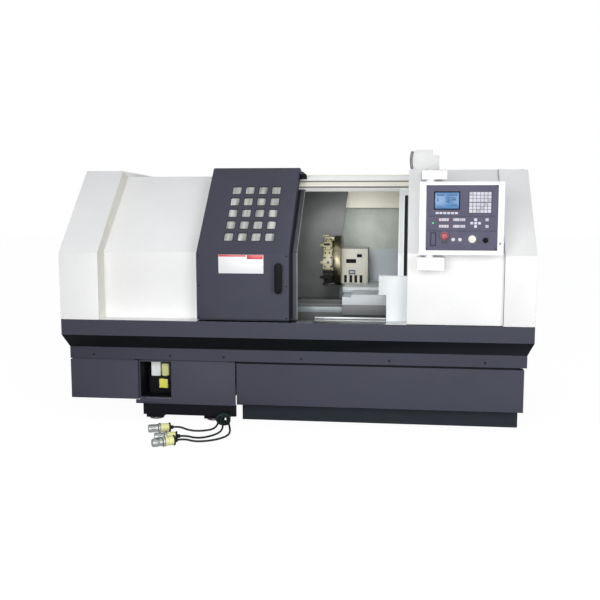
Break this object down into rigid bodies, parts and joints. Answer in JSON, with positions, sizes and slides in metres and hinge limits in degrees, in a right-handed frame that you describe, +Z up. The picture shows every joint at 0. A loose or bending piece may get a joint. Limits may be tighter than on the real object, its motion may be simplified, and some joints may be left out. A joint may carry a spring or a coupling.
{
  "type": "cnc turning lathe",
  "caption": "Flat-bed CNC turning lathe with a sheet-metal enclosure, sliding door, turret, tailstock and a swinging control box.",
  "frame": {"origin": "centre of the footprint at floor level, leads left out", "axes": "+X to the right along the spindle as the operator sees it, +Y to the rear, +Z up"},
  "size_m": [2.85, 1.9189, 1.68],
  "materials": {
    "enclosure_paint": "satin off-white enclosure paint",
    "door_paint": "satin charcoal-blue paint",
    "guard_paint": "satin dark grey paint",
    "toe_paint": "matt near-black paint",
    "cream_paint": "satin cream paint",
    "wall_paint": "satin grey-green paint",
    "cast_iron": "ground and oiled ways, painted sides",
    "saddle_paint": "light grey machine paint",
    "steel": "turned and ground steel",
    "dark_steel": "blackened steel",
    "belt_rubber": "moulded belt",
    "motor_paint": "black motor enamel",
    "window_glass": "clear laminated sheet",
    "handle_plastic": "moulded pull",
    "reservoir_plastic": "translucent white tank",
    "face_plastic": "printed membrane",
    "frame_paint": "satin white",
    "stop_red": "red mushroom",
    "button_green": "green cap",
    "button_red": "red cap",
    "knob_black": "black knob",
    "key_metal": "polished lock",
    "lead_rubber": "black sheath",
    "connector_body": "yellow ring, silver shell"
  },
  "bodies": {
    "machine": {"bed": "cast_iron", "headstock": "cast_iron", "left_pedestal": "toe_paint", "right_pedestal": "toe_paint", "levelling_pads": "dark_steel", "chip_tray": "door_paint", "lower_left_panel": "door_paint", "lower_middle_panel": "door_paint", "lower_right_panel": "door_paint", "coolant_tank": "toe_paint", "lube_unit": "reservoir_plastic", "left_end_cover": "enclosure_paint", "centre_panel": "enclosure_paint", "jamb_guard": "guard_paint", "corner_guard": "enclosure_paint", "right_front_panel": "enclosure_paint", "right_end_cover": "enclosure_paint", "door_rail": "enclosure_paint", "sill_channel": "steel", "rear_guard_left": "guard_paint", "rear_guard_right": "wall_paint", "rear_beam": "cream_paint", "back_panel": "enclosure_paint", "roof_duct": "cream_paint", "control_brackets": "frame_paint", "spindle_motor": "motor_paint", "drive_belt": "belt_rubber", "z_ballscrew": "steel", "z_servo": "motor_paint", "lead_glands": "handle_plastic", "lead_1": "lead_rubber", "lead_2": "lead_rubber", "lead_3": "lead_rubber", "connector_1": "connector_body", "connector_2": "connector_body", "connector_3": "connector_body"},
    "door": {"door_panel": "door_paint", "door_window": "window_glass", "door_handle": "handle_plastic", "door_rollers": "steel"},
    "saddle": {"saddle": "saddle_paint"},
    "cross_slide": {"cross_slide": "saddle_paint", "turret_housing": "cream_paint"},
    "turret": {"turret_disc": "dark_steel", "tool_holders": "dark_steel"},
    "spindle": {"spindle": "steel", "chuck_body": "steel"},
    "jaw_1": {"jaw_1": "dark_steel"},
    "jaw_2": {"jaw_2": "dark_steel"},
    "jaw_3": {"jaw_3": "dark_steel"},
    "motor_pulley": {"motor_pulley": "cast_iron"},
    "tailstock": {"tailstock_body": "saddle_paint"},
    "quill": {"quill": "steel"},
    "control_box": {"control_housing": "frame_paint", "control_faceplate": "face_plastic"},
    "emergency_stop": {"emergency_stop": "stop_red"},
    "start_button": {"start_button": "button_green"},
    "stop_button": {"stop_button": "button_red"},
    "override_dial": {"override_dial": "knob_black"},
    "key_switch": {"key_switch": "key_metal"}
  },
  "joints": [
    {"name": "door_slide", "type": "slide", "parent": "machine", "child": "door", "axis": [1, 0, 0], "range_m": [0, 0.65]},
    {"name": "saddle_slide", "type": "slide", "parent": "machine", "child": "saddle", "axis": [1, 0, 0], "range_m": [-0.42, 0.19]},
    {"name": "cross_travel", "type": "slide", "parent": "saddle", "child": "cross_slide", "axis": [0, -1, 0], "range_m": [-0.055, 0.165]},
    {"name": "turret_index", "type": "hinge", "parent": "cross_slide", "child": "turret", "pos_m": [0.16, 0.17, 0.955], "axis": [1, 0, 0], "continuous": true},
    {"name": "spindle_turn", "type": "hinge", "parent": "machine", "child": "spindle", "pos_m": [-0.18, -0.17, 0.955], "axis": [1, 0, 0], "continuous": true},
    {"name": "motor_turn", "type": "hinge", "parent": "machine", "child": "motor_pulley", "pos_m": [-1.02, 0.37, 0.82], "axis": [1, 0, 0], "continuous": true},
    {"name": "jaw_slide_1", "type": "slide", "parent": "spindle", "child": "jaw_1", "axis": [0, 0, 1], "range_m": [-0.008, 0.008]},
    {"name": "jaw_slide_2", "type": "slide", "parent": "spindle", "child": "jaw_2", "axis": [0, -0.866, -0.5], "range_m": [-0.008, 0.008]},
    {"name": "jaw_slide_3", "type": "slide", "parent": "spindle", "child": "jaw_3", "axis": [0, 0.866, -0.5], "range_m": [-0.008, 0.008]},
    {"name": "tailstock_slide", "type": "slide", "parent": "machine", "child": "tailstock", "axis": [1, 0, 0], "range_m": [-0.19, 0.06]},
    {"name": "quill_slide", "type": "slide", "parent": "tailstock", "child": "quill", "axis": [-1, 0, 0], "range_m": [0, 0.12]},
    {"name": "control_swing", "type": "hinge", "parent": "machine", "child": "control_box", "pos_m": [0.812, -0.69, 1.27], "axis": [0, 0, -1], "range_deg": [0, 60]},
    {"name": "emergency_stop_press", "type": "slide", "parent": "control_box", "child": "emergency_stop", "axis": [0, 1, 0], "range_m": [0, 0.006]},
    {"name": "start_press", "type": "slide", "parent": "control_box", "child": "start_button", "axis": [0, 1, 0], "range_m": [0, 0.004], "stiffness_N_per_m": 600},
    {"name": "stop_press", "type": "slide", "parent": "control_box", "child": "stop_button", "axis": [0, 1, 0], "range_m": [0, 0.004], "stiffness_N_per_m": 600},
    {"name": "override_turn", "type": "hinge", "parent": "control_box", "child": "override_dial", "pos_m": [1.048, -0.736, 1.155], "axis": [0, 1, 0], "range_deg": [-150, 150]},
    {"name": "key_turn", "type": "hinge", "parent": "control_box", "child": "key_switch", "pos_m": [1.122, -0.736, 1.149], "axis": [0, 1, 0], "range_deg": [0, 90]}
  ],
  "couplings": [
    {"joint": "motor_turn", "follows": "spindle_turn", "ratio": 1},
    {"joint": "jaw_slide_2", "follows": "jaw_slide_1", "ratio": 1},
    {"joint": "jaw_slide_3", "follows": "jaw_slide_1", "ratio": 1}
  ]
}
